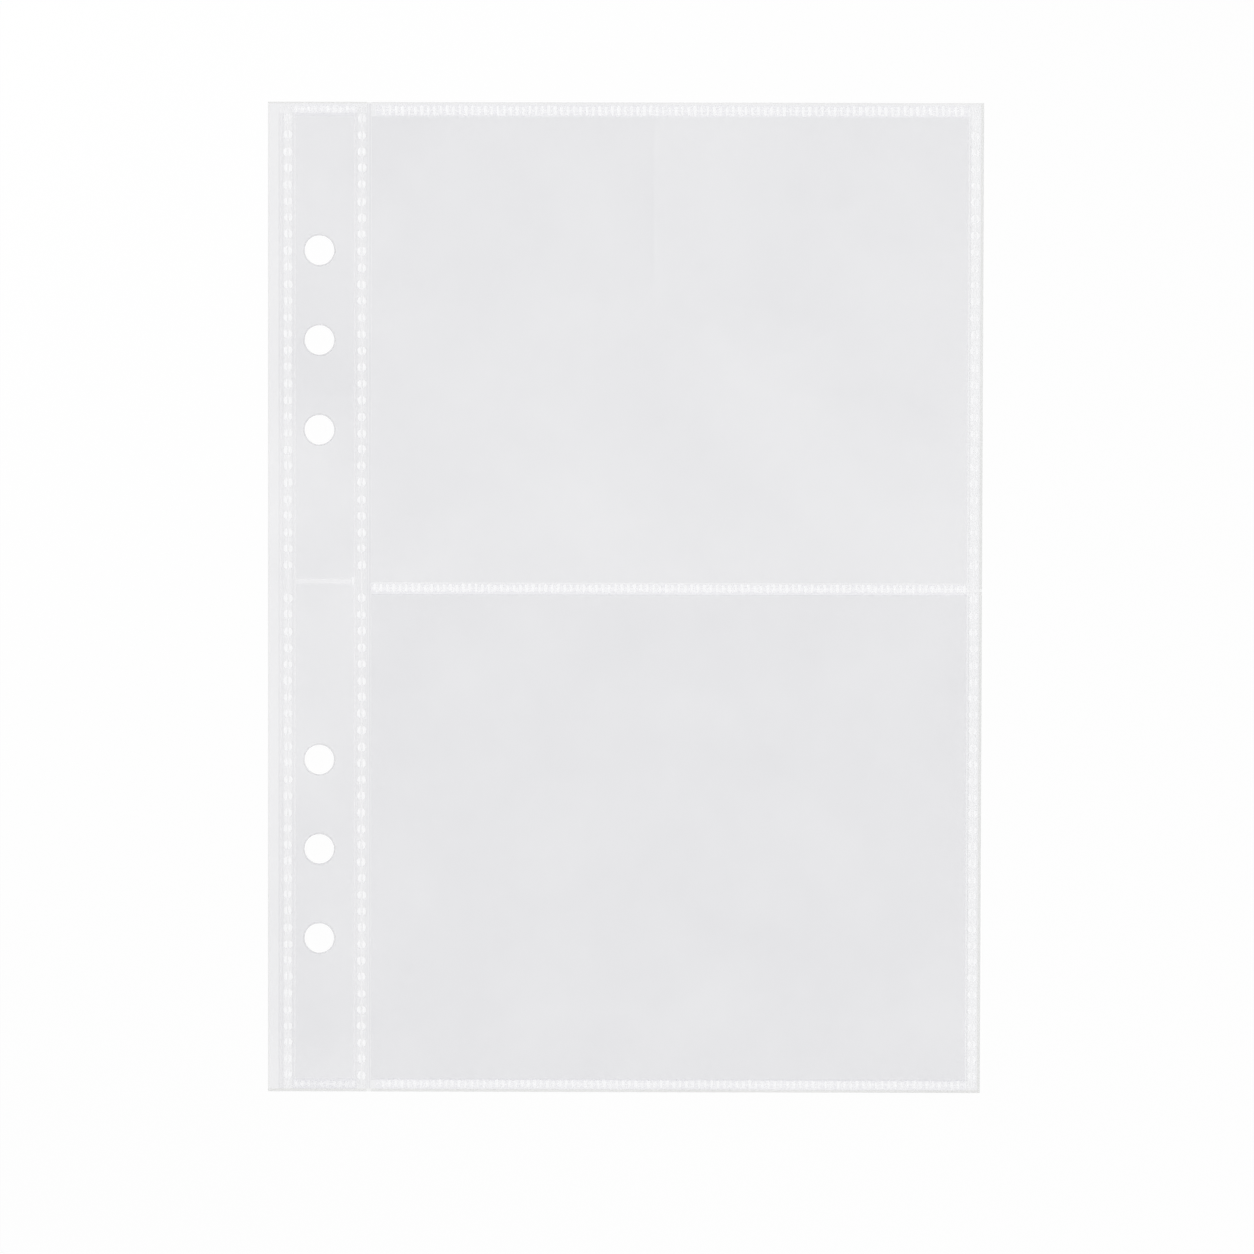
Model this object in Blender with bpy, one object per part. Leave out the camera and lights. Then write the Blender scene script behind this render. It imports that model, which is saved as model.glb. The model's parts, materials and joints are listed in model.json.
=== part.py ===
"""Clear album page for a six-ring A5 binder, with two photo pockets one above the other on one back film.

The page lies on its back on Z = 0. The binding edge is on -X, the top of the page on +Y, and the front
films face +Z. The origin is under the middle of the page.

Two layers of polypropylene film are joined by lines of weld teeth. Each weld line is one solid: a land that
lies between the two films and closes the pocket, a web that runs up through a slot in the front film, and
teeth that stand on the front film. The front film ends beside the spine weld, so each pocket has its mouth
there, and only the back film runs on across that line. The page folds along it.
"""

import math

import bmesh
import bpy
from mathutils import Matrix, Vector

MM = 0.001

# Page and film
PAGE_WIDTH = 151.5 * MM
PAGE_HEIGHT = 210.0 * MM
FILM_THICKNESS = 0.12 * MM
POCKET_DEPTH = 0.25 * MM

# Ring holes: two groups of three in one line along the binding edge
HOLE_DIAMETER = 6.3 * MM
HOLE_LINE_INSET = 10.9 * MM
HOLE_PITCH = 19.0 * MM
HOLES_PER_GROUP = 3
GROUP_SPACING = 70.0 * MM
HOLE_PATTERN_RISE = 0.7 * MM
HOLE_SIDES = 24

# Fold and pocket mouths, measured from the spine weld line and from the fold
FOLD_MARGIN = 1.4 * MM
FOLD_SLIT = 0.3 * MM
STRIP_FILM_SETBACK = 0.3 * MM
MOUTH_SETBACK = 0.6 * MM

# Weld lines, each by its distance from the page edge that it follows
LEFT_SEAM_INSET = 4.25 * MM
SPINE_SEAM_INSET = 19.9 * MM
OUTER_SEAM_INSET = 1.8 * MM
TOP_SEAM_INSET = 1.8 * MM
BOTTOM_SEAM_INSET = 1.6 * MM
MIDDLE_SEAM_RISE = 1.9 * MM

# Cross-section of a weld line
WEB_WIDTH = 0.5 * MM
SLOT_CLEARANCE = 0.05 * MM
WEB_PROUD = 0.05 * MM
TOOTH_PROUD = 0.08 * MM
WEB_END_MARGIN = 1.0 * MM
SEAM_END_GAP = 0.3 * MM

# Round teeth of the weld lines that run up the page
ROUND_TOOTH_PITCH = 3.5 * MM
ROUND_TOOTH_ACROSS = 1.8 * MM
ROUND_TOOTH_ALONG = 1.6 * MM
ROUND_TOOTH_SIDES = 8
UPRIGHT_LAND_WIDTH = 1.8 * MM

# Bar teeth of the weld lines that run across the page
BAR_TOOTH_PITCH = 2.69 * MM
BAR_TOOTH_ACROSS = 2.2 * MM
BAR_TOOTH_ALONG = 1.9 * MM
CROSS_LAND_WIDTH = 2.4 * MM

# Heights of the layers above the surface that the page lies on
BACK_TOP = FILM_THICKNESS
FRONT_BOTTOM = BACK_TOP + POCKET_DEPTH
FRONT_TOP = FRONT_BOTTOM + FILM_THICKNESS

# Edges and lines in the page's own coordinates
LEFT_EDGE = -PAGE_WIDTH / 2
RIGHT_EDGE = PAGE_WIDTH / 2
TOP_EDGE = PAGE_HEIGHT / 2
BOTTOM_EDGE = -PAGE_HEIGHT / 2
HOLE_LINE_X = LEFT_EDGE + HOLE_LINE_INSET
LEFT_SEAM_X = LEFT_EDGE + LEFT_SEAM_INSET
SPINE_SEAM_X = LEFT_EDGE + SPINE_SEAM_INSET
FOLD_X = SPINE_SEAM_X + FOLD_MARGIN
STRIP_FILM_X = FOLD_X - STRIP_FILM_SETBACK
MOUTH_X = FOLD_X + MOUTH_SETBACK
OUTER_SEAM_X = RIGHT_EDGE - OUTER_SEAM_INSET
TOP_SEAM_Y = TOP_EDGE - TOP_SEAM_INSET
BOTTOM_SEAM_Y = BOTTOM_EDGE + BOTTOM_SEAM_INSET
MIDDLE_SEAM_Y = MIDDLE_SEAM_RISE
SLOT_HALF = WEB_WIDTH / 2 + SLOT_CLEARANCE
FOLD_AXIS = Vector((FOLD_X, 0.0, FILM_THICKNESS / 2))

FILM_COLOUR = (0.80, 0.80, 0.82, 1.0)
FILM_ALPHA = 0.35
FILM_ROUGHNESS = 0.18
WELD_COLOUR = (0.95, 0.95, 0.97, 1.0)
WELD_ALPHA = 0.85
WELD_ROUGHNESS = 0.30


def clear_scene():
    """Removes every object, so that the page is built in an empty scene."""
    for obj in list(bpy.data.objects):
        bpy.data.objects.remove(obj, do_unlink=True)


def new_collection(name):
    """Returns an empty collection linked to the scene."""
    collection = bpy.data.collections.new(name)
    bpy.context.scene.collection.children.link(collection)
    return collection


def plastic(name, colour, alpha, roughness):
    """Returns a clear plastic material with its own Principled BSDF."""
    material = bpy.data.materials.new(name)
    material.use_nodes = True
    shader = material.node_tree.nodes["Principled BSDF"]
    shader.inputs["Base Color"].default_value = colour
    shader.inputs["Metallic"].default_value = 0.0
    shader.inputs["Roughness"].default_value = roughness
    shader.inputs["Alpha"].default_value = alpha
    return material


def film_material(name):
    """Returns the material of one piece of film."""
    return plastic(name + "_plastic", FILM_COLOUR, FILM_ALPHA, FILM_ROUGHNESS)


def weld_material(name):
    """Returns the material of one weld line, whiter than the film around it."""
    return plastic(name + "_plastic", WELD_COLOUR, WELD_ALPHA, WELD_ROUGHNESS)


def rectangle(x_low, x_high, y_low, y_high):
    """Returns the four corners of a rectangle, counter-clockwise."""
    return [(x_low, y_low), (x_high, y_low), (x_high, y_high), (x_low, y_high)]


def circle(x, y, diameter, sides):
    """Returns the corners of a round hole."""
    turn = 2 * math.pi / sides
    radius = diameter / 2
    return [
        (x + radius * math.cos(turn * index), y + radius * math.sin(turn * index))
        for index in range(sides)
    ]


def upright_slot(x, y_low, y_high):
    """Returns the slot in the front film for the web of a weld line that runs up the page."""
    return rectangle(x - SLOT_HALF, x + SLOT_HALF, y_low - SLOT_CLEARANCE, y_high + SLOT_CLEARANCE)


def cross_slot(y, x_low, x_high):
    """Returns the slot in the front film for the web of a weld line that runs across the page."""
    return rectangle(x_low - SLOT_CLEARANCE, x_high + SLOT_CLEARANCE, y - SLOT_HALF, y + SLOT_HALF)


def hole_heights():
    """Returns the Y of each ring hole, from the bottom of the page to the top."""
    reach = [GROUP_SPACING / 2 + HOLE_PITCH * index for index in range(HOLES_PER_GROUP)]
    lower = [HOLE_PATTERN_RISE - y for y in reversed(reach)]
    return lower + [HOLE_PATTERN_RISE + y for y in reach]


def ring_holes():
    """Returns the outlines of the ring holes."""
    return [circle(HOLE_LINE_X, y, HOLE_DIAMETER, HOLE_SIDES) for y in hole_heights()]


def film_sheet(name, outline, holes, z_low, collection):
    """Makes one piece of film from a flat outline with holes in it."""
    curve = bpy.data.curves.new(name, "CURVE")
    curve.dimensions = "2D"
    curve.fill_mode = "BOTH"
    curve.extrude = FILM_THICKNESS / 2
    for points in [outline] + holes:
        spline = curve.splines.new("POLY")
        spline.points.add(len(points) - 1)
        for spot, (x, y) in zip(spline.points, points):
            spot.co = (x, y, 0.0, 1.0)
        spline.use_cyclic_u = True
    sheet = bpy.data.objects.new(name, curve)
    sheet.location.z = z_low + FILM_THICKNESS / 2
    sheet.data.materials.append(film_material(name))
    collection.objects.link(sheet)
    return sheet


def add_box(mesh, x_low, x_high, y_low, y_high, z_low, z_high):
    """Adds a box between two corners to a bmesh."""
    middle = Vector(((x_low + x_high) / 2, (y_low + y_high) / 2, (z_low + z_high) / 2))
    scale = Matrix.Diagonal((x_high - x_low, y_high - y_low, z_high - z_low, 1.0))
    bmesh.ops.create_cube(mesh, size=1.0, matrix=Matrix.Translation(middle) @ scale)


def add_round_tooth(mesh, x, y, z_low, z_high):
    """Adds an oval weld tooth, one flat of its outline square to the weld line."""
    scale = Matrix.Diagonal((ROUND_TOOTH_ACROSS, ROUND_TOOTH_ALONG, z_high - z_low, 1.0))
    turn = Matrix.Rotation(math.pi / ROUND_TOOTH_SIDES, 4, "Z")
    place = Matrix.Translation((x, y, (z_low + z_high) / 2))
    flat_radius = 0.5 / math.cos(math.pi / ROUND_TOOTH_SIDES)
    bmesh.ops.create_cone(
        mesh,
        cap_ends=True,
        segments=ROUND_TOOTH_SIDES,
        radius1=flat_radius,
        radius2=flat_radius,
        depth=1.0,
        matrix=place @ scale @ turn,
    )


def tooth_places(low, high, pitch, tooth_length):
    """Returns the centres of as many teeth as fit between two ends, evenly about the middle."""
    count = int((high - low - tooth_length) / pitch) + 1
    first = (low + high) / 2 - pitch * (count - 1) / 2
    return [first + pitch * index for index in range(count)]


def mesh_object(name, mesh, collection):
    """Turns a bmesh into an object in a collection."""
    bmesh.ops.recalc_face_normals(mesh, faces=mesh.faces)
    data = bpy.data.meshes.new(name)
    mesh.to_mesh(data)
    mesh.free()
    obj = bpy.data.objects.new(name, data)
    collection.objects.link(obj)
    return obj


def tool_object(name, mesh, tools):
    """Makes a helper shape that is joined to a weld line and isn't a piece by itself."""
    tool = mesh_object(name, mesh, tools)
    tool.display_type = "WIRE"
    tool.hide_render = True
    return tool


def join_to(piece, tool):
    """Joins a helper shape to a piece with a Boolean union."""
    union = piece.modifiers.new(tool.name, "BOOLEAN")
    union.operation = "UNION"
    union.solver = "EXACT"
    union.object = tool


def weld_line(name, land, web, teeth, collection, tools):
    """Makes one weld line from its land, its web and its teeth, each a bmesh."""
    line = mesh_object(name, land, collection)
    line.data.materials.append(weld_material(name))
    join_to(line, tool_object(name + "_web", web, tools))
    join_to(line, tool_object(name + "_teeth", teeth, tools))
    return line


def web_heights():
    """Returns the lowest and highest Z of a web, which starts inside its land."""
    return (BACK_TOP + FRONT_BOTTOM) / 2, FRONT_TOP + WEB_PROUD


def upright_weld_line(name, x, collection, tools):
    """Makes a weld line with round teeth that runs up the page, past both pockets."""
    low = BOTTOM_EDGE + WEB_END_MARGIN
    high = TOP_EDGE - WEB_END_MARGIN
    half = UPRIGHT_LAND_WIDTH / 2
    land = bmesh.new()
    add_box(land, x - half, x + half, low, high, BACK_TOP, FRONT_BOTTOM)
    web = bmesh.new()
    add_box(web, x - WEB_WIDTH / 2, x + WEB_WIDTH / 2, low, high, *web_heights())
    teeth = bmesh.new()
    for y in tooth_places(low, high, ROUND_TOOTH_PITCH, ROUND_TOOTH_ALONG):
        add_round_tooth(teeth, x, y, FRONT_TOP, FRONT_TOP + TOOTH_PROUD)
    return weld_line(name, land, web, teeth, collection, tools)


def cross_weld_line(name, y, x_low, x_high, collection, tools):
    """Makes a weld line with bar teeth that runs across the page between two ends."""
    half = CROSS_LAND_WIDTH / 2
    land = bmesh.new()
    add_box(land, x_low, x_high, y - half, y + half, BACK_TOP, FRONT_BOTTOM)
    web = bmesh.new()
    add_box(web, x_low, x_high, y - WEB_WIDTH / 2, y + WEB_WIDTH / 2, *web_heights())
    teeth = bmesh.new()
    bar_half = BAR_TOOTH_ALONG / 2
    for x in tooth_places(x_low, x_high, BAR_TOOTH_PITCH, BAR_TOOTH_ALONG):
        add_box(
            teeth,
            x - bar_half,
            x + bar_half,
            y - BAR_TOOTH_ACROSS / 2,
            y + BAR_TOOTH_ACROSS / 2,
            FRONT_TOP,
            FRONT_TOP + TOOTH_PROUD,
        )
    return weld_line(name, land, web, teeth, collection, tools)


def strip_span():
    """Returns the X of both ends of a weld line between the two upright lines of the binding strip."""
    reach = max(UPRIGHT_LAND_WIDTH, ROUND_TOOTH_ACROSS) / 2 + SEAM_END_GAP
    return LEFT_SEAM_X + reach, SPINE_SEAM_X - reach


def pocket_span():
    """Returns the X of both ends of a weld line from the pocket mouths to the outer weld line."""
    reach = max(UPRIGHT_LAND_WIDTH, ROUND_TOOTH_ACROSS) / 2 + SEAM_END_GAP
    return MOUTH_X + WEB_END_MARGIN, OUTER_SEAM_X - reach


def binding_strip(collection, tools):
    """Makes the binding strip: back film, front film with its slots, and the weld lines between them."""
    film_sheet(
        "strip_back_film",
        rectangle(LEFT_EDGE, FOLD_X - FOLD_SLIT / 2, BOTTOM_EDGE, TOP_EDGE),
        ring_holes(),
        0.0,
        collection,
    )
    web_low = BOTTOM_EDGE + WEB_END_MARGIN
    web_high = TOP_EDGE - WEB_END_MARGIN
    cross_low, cross_high = strip_span()
    slots = [
        upright_slot(LEFT_SEAM_X, web_low, web_high),
        upright_slot(SPINE_SEAM_X, web_low, web_high),
        cross_slot(TOP_SEAM_Y, cross_low, cross_high),
        cross_slot(BOTTOM_SEAM_Y, cross_low, cross_high),
    ]
    film_sheet(
        "strip_front_film",
        rectangle(LEFT_EDGE, STRIP_FILM_X, BOTTOM_EDGE, TOP_EDGE),
        ring_holes() + slots,
        FRONT_BOTTOM,
        collection,
    )
    upright_weld_line("left_edge_seam", LEFT_SEAM_X, collection, tools)
    upright_weld_line("spine_seam", SPINE_SEAM_X, collection, tools)
    cross_weld_line("strip_top_seam", TOP_SEAM_Y, cross_low, cross_high, collection, tools)
    cross_weld_line("strip_bottom_seam", BOTTOM_SEAM_Y, cross_low, cross_high, collection, tools)


def pocket_outline(y_edge, y_split, web_end):
    """Returns the outline of a pocket film from a page edge to the middle weld line.

    The film is open on that side for the web of the outer weld line, which runs on into the other pocket.
    """
    outer = [(RIGHT_EDGE, y_split), (RIGHT_EDGE, y_edge), (MOUTH_X, y_edge), (MOUTH_X, y_split)]
    notch = [
        (OUTER_SEAM_X - SLOT_HALF, y_split),
        (OUTER_SEAM_X - SLOT_HALF, web_end),
        (OUTER_SEAM_X + SLOT_HALF, web_end),
        (OUTER_SEAM_X + SLOT_HALF, y_split),
    ]
    return outer + notch


def pocket_panel(collection, tools):
    """Makes the pocket panel: back film, two pocket films and the weld lines between them."""
    panel = [
        film_sheet(
            "panel_back_film",
            rectangle(FOLD_X + FOLD_SLIT / 2, RIGHT_EDGE, BOTTOM_EDGE, TOP_EDGE),
            [],
            0.0,
            collection,
        )
    ]
    cross_low, cross_high = pocket_span()
    slot_top = TOP_EDGE - WEB_END_MARGIN + SLOT_CLEARANCE
    slot_bottom = BOTTOM_EDGE + WEB_END_MARGIN - SLOT_CLEARANCE
    panel.append(
        film_sheet(
            "upper_pocket_film",
            pocket_outline(TOP_EDGE, MIDDLE_SEAM_Y + SLOT_HALF, slot_top),
            [cross_slot(TOP_SEAM_Y, cross_low, cross_high)],
            FRONT_BOTTOM,
            collection,
        )
    )
    panel.append(
        film_sheet(
            "lower_pocket_film",
            pocket_outline(BOTTOM_EDGE, MIDDLE_SEAM_Y - SLOT_HALF, slot_bottom),
            [cross_slot(BOTTOM_SEAM_Y, cross_low, cross_high)],
            FRONT_BOTTOM,
            collection,
        )
    )
    panel.append(upright_weld_line("outer_edge_seam", OUTER_SEAM_X, collection, tools))
    panel.append(
        cross_weld_line("top_seam", TOP_SEAM_Y, cross_low, cross_high, collection, tools)
    )
    panel.append(
        cross_weld_line("middle_seam", MIDDLE_SEAM_Y, MOUTH_X, cross_high, collection, tools)
    )
    panel.append(
        cross_weld_line("bottom_seam", BOTTOM_SEAM_Y, cross_low, cross_high, collection, tools)
    )
    return panel


def hang_on_fold(pieces, collection):
    """Parents the pieces of the pocket panel to an empty on the fold line."""
    fold = bpy.data.objects.new("page_fold", None)
    fold.location = FOLD_AXIS
    fold.empty_display_size = HOLE_LINE_INSET
    collection.objects.link(fold)
    for piece in pieces:
        piece.parent = fold
        piece.matrix_parent_inverse = Matrix.Translation(-FOLD_AXIS)


def main():
    """Builds the album page."""
    clear_scene()
    page = new_collection("album_page")
    tools = new_collection("weld_tools")
    binding_strip(page, tools)
    hang_on_fold(pocket_panel(page, tools), page)
    bpy.context.view_layer.update()


main()
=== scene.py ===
# %% [markdown]
# # Dressing a clear album page
#
# The imported model is an A5 page of clear film: two sheets of polypropylene that are welded together along
# dotted lines, with a punched binding strip on the left and two photo pockets on the right. It works, but it
# looks like cut card. This lesson gives it the looks of the real page: film that is nearly invisible, welds
# that have turned white, and a bright table under it.
#
# A thin clear object is hard to show because there is almost nothing to see. Everything that the eye finds is
# small: a veil of haze, a whiter dot, the painted shade of a cut edge. So each step here works in tenths of a
# millimetre.

# %% Load the imported page
import json
import math
import random

import bmesh
import bpy
from mathutils import Matrix, Vector

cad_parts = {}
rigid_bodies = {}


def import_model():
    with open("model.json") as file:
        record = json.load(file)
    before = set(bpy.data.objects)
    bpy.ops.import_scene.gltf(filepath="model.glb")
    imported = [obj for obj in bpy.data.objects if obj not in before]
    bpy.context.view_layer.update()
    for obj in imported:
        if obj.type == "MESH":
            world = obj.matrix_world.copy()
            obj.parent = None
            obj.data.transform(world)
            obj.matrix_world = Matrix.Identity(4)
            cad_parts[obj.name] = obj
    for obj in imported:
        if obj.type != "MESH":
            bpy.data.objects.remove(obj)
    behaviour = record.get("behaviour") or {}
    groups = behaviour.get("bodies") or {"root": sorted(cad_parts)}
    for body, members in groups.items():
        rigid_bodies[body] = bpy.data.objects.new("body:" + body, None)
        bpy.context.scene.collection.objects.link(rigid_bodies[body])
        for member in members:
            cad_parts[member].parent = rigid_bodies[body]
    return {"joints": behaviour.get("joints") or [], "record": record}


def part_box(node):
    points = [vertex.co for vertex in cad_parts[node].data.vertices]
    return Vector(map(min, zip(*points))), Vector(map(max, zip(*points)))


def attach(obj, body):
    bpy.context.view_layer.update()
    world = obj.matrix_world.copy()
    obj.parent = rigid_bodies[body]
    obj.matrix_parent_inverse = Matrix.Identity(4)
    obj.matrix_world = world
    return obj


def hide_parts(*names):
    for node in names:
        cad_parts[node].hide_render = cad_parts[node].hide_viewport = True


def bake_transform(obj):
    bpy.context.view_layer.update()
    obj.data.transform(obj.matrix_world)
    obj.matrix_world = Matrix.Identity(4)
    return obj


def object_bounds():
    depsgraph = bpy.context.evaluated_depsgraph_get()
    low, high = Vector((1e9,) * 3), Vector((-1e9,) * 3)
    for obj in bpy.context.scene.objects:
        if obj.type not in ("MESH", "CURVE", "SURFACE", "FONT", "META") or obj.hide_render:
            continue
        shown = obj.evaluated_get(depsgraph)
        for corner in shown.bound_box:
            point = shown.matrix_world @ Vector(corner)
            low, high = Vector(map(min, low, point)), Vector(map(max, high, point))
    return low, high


for leftover in list(bpy.data.objects):
    bpy.data.objects.remove(leftover, do_unlink=True)
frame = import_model()
cad_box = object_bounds()

# %% [markdown]
# ## Sizes
#
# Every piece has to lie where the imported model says, so the sizes are read from its nodes and not typed
# again. The page lies flat with its back film on Z = 0. The front films lie a quarter of a millimetre above
# it, which is the depth of a pocket.

# %% Read the page's sizes
MM = 0.001
LEFT, BOTTOM = cad_box[0].x, cad_box[0].y
RIGHT, TOP = cad_box[1].x, cad_box[1].y
BACK_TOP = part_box("panel_back_film")[1].z
FRONT_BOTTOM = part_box("strip_front_film")[0].z
FRONT_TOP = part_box("strip_front_film")[1].z
STRIP_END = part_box("strip_front_film")[1].x
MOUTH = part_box("upper_pocket_film")[0].x
FOLD = frame["joints"][0]["pos_m"][0]
ring_boxes = [opening["box_m"] for opening in frame["record"]["physics"]["openings"]]
ring_centres = [(Vector(low) + Vector(high)) / 2 for low, high in ring_boxes]
page_size = [round((cad_box[1] - cad_box[0])[way] / MM, 1) for way in (0, 1)]
print("page", page_size, "mm, holes:", len(ring_centres))

# %% [markdown]
# ## Camera
#
# The page is photographed from above. A longish lens keeps its sides nearly parallel, and keeps the thickness
# of the page out of the picture. The page's bottom comes out a hair narrower than its top, so the camera
# leans by one degree. The picture shows 266 mm of the table across.

# %% Hang the camera over the page
FIELD = 266.25 * MM
CAMERA_HEIGHT = 0.6
CAMERA_SPOT = (1.7 * MM, 4.8 * MM, CAMERA_HEIGHT)
CAMERA_LEAN = (math.radians(-1.03), math.radians(0.12), math.radians(0.13))
SENSOR = 36.0

camera_data = bpy.data.cameras.new("overhead_camera")
camera_data.sensor_width = SENSOR
camera_data.lens = SENSOR * CAMERA_HEIGHT / FIELD
camera = bpy.data.objects.new("overhead_camera", camera_data)
camera.location = CAMERA_SPOT
camera.rotation_euler = CAMERA_LEAN
bpy.context.collection.objects.link(camera)
bpy.context.scene.camera = camera
print("lens", round(camera_data.lens, 1), "mm")

# %% [markdown]
# ## Tools for finishes
#
# Every finish is a tree of nodes. A few small functions add the ones that are needed again and again, so that
# each finish can be read as one line of thought.

# %% Tools for finishes
def new_finish(name):
    """An empty material with its node tree, ready for nodes."""
    finish = bpy.data.materials.new(name)
    finish.use_nodes = True
    return finish, finish.node_tree.nodes, finish.node_tree.links


def ranged(nodes, links, value, low, high, to_low, to_high):
    """Spreads a value between two limits to two others, and holds it there."""
    node = nodes.new("ShaderNodeMapRange")
    node.inputs["From Min"].default_value = low
    node.inputs["From Max"].default_value = high
    node.inputs["To Min"].default_value = to_low
    node.inputs["To Max"].default_value = to_high
    links.new(value, node.inputs["Value"])
    return node.outputs["Result"]


def combined(nodes, links, operation, first, second):
    """One value from two. The second may be a plain number."""
    node = nodes.new("ShaderNodeMath")
    node.operation = operation
    links.new(first, node.inputs[0])
    if isinstance(second, float):
        node.inputs[1].default_value = second
    else:
        links.new(second, node.inputs[1])
    return node.outputs["Value"]


# %% [markdown]
# ## Table
#
# Clear film is judged against what is behind it, and here that is a white table. A table painted pure white
# and lit until it clips would wash out the page too. So the paint is a light grey, and a little glow is added
# that only the camera and the reflections see, which lifts it to white.
#
# From below the table is see-through, so that the back of the page can be looked at as well.

# %% Paint the table
TABLE_SIZE = 8.0
TABLE_GAP = 0.05 * MM
TABLE_PAINT = (0.70, 0.70, 0.70, 1.0)
TABLE_GLOW = 0.316


def seen_directly(nodes, links):
    """1 for what the camera sees, also by way of a reflection or a clear thing, and 0 for lighting."""
    path = nodes.new("ShaderNodeLightPath")
    seen = path.outputs["Is Camera Ray"]
    for also in ("Is Glossy Ray", "Is Transmission Ray"):
        seen = combined(nodes, links, "MAXIMUM", seen, path.outputs[also])
    return seen


table_finish, nodes, links = new_finish("table_paint")
paint = nodes["Principled BSDF"]
paint.inputs["Base Color"].default_value = TABLE_PAINT
paint.inputs["Roughness"].default_value = 1.0
paint.inputs["Specular IOR Level"].default_value = 0.0
glow = nodes.new("ShaderNodeEmission")
lift = combined(nodes, links, "MULTIPLY", seen_directly(nodes, links), TABLE_GLOW)
links.new(lift, glow.inputs["Strength"])
lit = nodes.new("ShaderNodeAddShader")
links.new(paint.outputs["BSDF"], lit.inputs[0])
links.new(glow.outputs["Emission"], lit.inputs[1])
under = nodes.new("ShaderNodeNewGeometry")
clear_under = nodes.new("ShaderNodeBsdfTransparent")
one_sided = nodes.new("ShaderNodeMixShader")
links.new(under.outputs["Backfacing"], one_sided.inputs["Fac"])
links.new(lit.outputs["Shader"], one_sided.inputs[1])
links.new(clear_under.outputs["BSDF"], one_sided.inputs[2])
links.new(one_sided.outputs["Shader"], nodes["Material Output"].inputs["Surface"])

bpy.ops.object.select_all(action="DESELECT")
bpy.ops.mesh.primitive_plane_add(size=TABLE_SIZE, location=(0.0, 0.0, -TABLE_GAP))
table = bpy.context.object
table.name = "table"
table.data.materials.append(table_finish)
print("table", TABLE_SIZE, "m wide,", round(TABLE_GAP / MM, 2), "mm under the page")

# %% [markdown]
# Straight down through a weld, a ray of light passes eight skins of film and weld or more before it reaches
# the table, and at a slant it passes more still. Cycles gives up after eight and paints the rest black, so it
# is allowed more.

# %% Let light through every skin
SKINS = 24
bpy.context.scene.cycles.transparent_max_bounces = SKINS
print("skins that light may pass", SKINS)

# %% [markdown]
# ## Light
#
# Soft light from a white room does most of the work. Two large lamps at the sides add direction, so that the
# weld teeth stand out a little. Neither lamp is overhead, where the film would mirror it into the lens and
# the whole page would turn into one pale reflection.

# %% Light the room
ROOM_LIGHT = 0.74


def soft_lamp(name, place, size, power):
    """A large square lamp that looks at the page."""
    data = bpy.data.lights.new(name, "AREA")
    data.size = size
    data.energy = power
    lamp = bpy.data.objects.new(name, data)
    lamp.location = place
    lamp.rotation_euler = (-Vector(place)).to_track_quat("-Z", "Y").to_euler()
    bpy.context.collection.objects.link(lamp)


soft_lamp("key_lamp", place=(-0.95, 0.80, 1.05), size=0.9, power=5.6)
soft_lamp("fill_lamp", place=(1.05, -0.75, 1.0), size=1.1, power=4.8)

room = bpy.data.worlds.new("white_room")
room.use_nodes = True
nodes, links = room.node_tree.nodes, room.node_tree.links
backdrop = nodes["Background"]
backdrop.inputs["Color"].default_value = (1.0, 1.0, 1.0, 1.0)
brightness = ranged(nodes, links, seen_directly(nodes, links), 0.0, 1.0, ROOM_LIGHT, 1.0)
links.new(brightness, backdrop.inputs["Strength"])
bpy.context.scene.world = room
bpy.context.scene.view_settings.view_transform = "Standard"
print("room light", ROOM_LIGHT)

# %% [markdown]
# ## The film's finish
#
# Polypropylene film is clear but never perfectly so. It holds a veil of haze, thicker in some places than in
# others. On top of that, the veil is painted thinner and thicker in large soft sweeps across the page, which
# stand for uneven light. Its skin has the drawn look of plastic that came off rollers: fine streaks along the
# page, too faint to see until the light catches them.
#
# Glass shading would be the first idea. For a sheet a tenth of a millimetre thick it costs a lot of light
# paths and gives dark shadows, and the bend of the light through it is too small to see. So the film is
# mostly see-through by its alpha, with a soft grey body for the haze. Seen at a flat angle, a sheet mirrors
# more of the room, so its alpha rises there.

# %% Mix the film
FILM_BODY = (0.50, 0.50, 0.545, 1.0)
FILM_HAZE = 0.110
HAZE_SPREAD = 0.13
CLOUDS_TO_A_METRE = 36.0
CLOUD_DETAIL = 5.0
STREAKS_TO_A_METRE = 900.0
STREAK_STRETCH = (1.0, 0.04, 1.0)
STREAK_ROUGHNESS = (0.14, 0.26)
FILM_RELIEF = 0.08
RELIEF_DEPTH = 0.02 * MM
GRAZING_SHEEN = 0.30
SHEEN_POWER = 4.0
PLASTIC_IOR = 1.49
NOISE_REACH = (0.3, 0.7)
CREASE_WIDTH = 0.6 * MM
CREASE_FADE = 30.0 * MM
CREASE_RISE = 20.0 * MM


def object_place(nodes, links, scale=(1.0, 1.0, 1.0), shift=(0.0, 0.0, 0.0)):
    """Where a point lies on the page, in metres, stretched and shifted for a pattern."""
    place = nodes.new("ShaderNodeTexCoord")
    fit = nodes.new("ShaderNodeMapping")
    fit.inputs["Scale"].default_value = scale
    fit.inputs["Location"].default_value = shift
    links.new(place.outputs["Object"], fit.inputs["Vector"])
    return fit.outputs["Vector"]


def noise(nodes, links, place, spots_to_a_metre, detail):
    """A soft random pattern. Most of its values lie within NOISE_REACH."""
    node = nodes.new("ShaderNodeTexNoise")
    node.inputs["Scale"].default_value = spots_to_a_metre
    node.inputs["Detail"].default_value = detail
    links.new(place, node.inputs["Vector"])
    return node.outputs["Fac"]


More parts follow.
